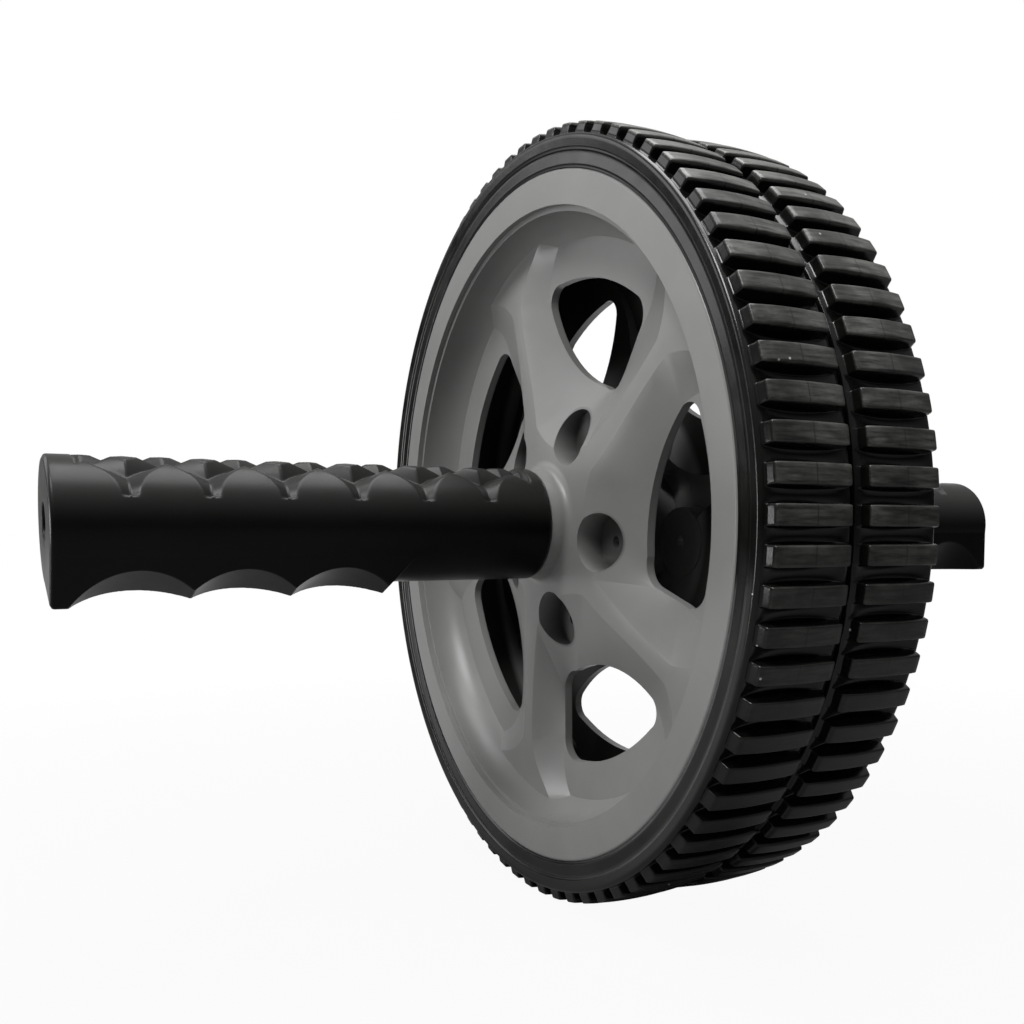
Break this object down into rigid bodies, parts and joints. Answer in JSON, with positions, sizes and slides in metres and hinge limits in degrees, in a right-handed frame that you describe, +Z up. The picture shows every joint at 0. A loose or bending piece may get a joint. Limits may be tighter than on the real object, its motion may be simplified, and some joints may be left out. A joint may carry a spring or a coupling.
{
  "type": "ab wheel roller",
  "caption": "Exercise roller: a broad twin-tyre wheel with scooped spoke windows turns on a steel axle between two moulded finger grips.",
  "frame": {"origin": "middle of the wheel on the axle's centre line", "axes": "+Y along the axle from the left grip to the right grip, +Z up as pictured, +X to the front of the wheel"},
  "size_m": [0.18, 0.2508, 0.18],
  "materials": {
    "rim_grey": "satin",
    "tyre_black": "satin",
    "grip_black": "satin",
    "steel": "bright drawn",
    "zinc": "zinc plated",
    "nylon": "natural nylon"
  },
  "bodies": {
    "grips": {"axle_rod": "steel", "left_handle": "grip_black", "right_handle": "grip_black", "handle_screws": "zinc", "left_washer": "nylon", "right_washer": "nylon"},
    "wheel": {"left_rim": "rim_grey", "right_rim": "rim_grey", "left_tyre": "tyre_black", "right_tyre": "tyre_black", "left_bush": "nylon", "right_bush": "nylon", "dowel_pins": "steel"}
  },
  "joints": [
    {"name": "wheel_spin", "type": "hinge", "parent": "grips", "child": "wheel", "pos_m": [0, 0, 0], "axis": [0, 1, 0], "continuous": true}
  ]
}
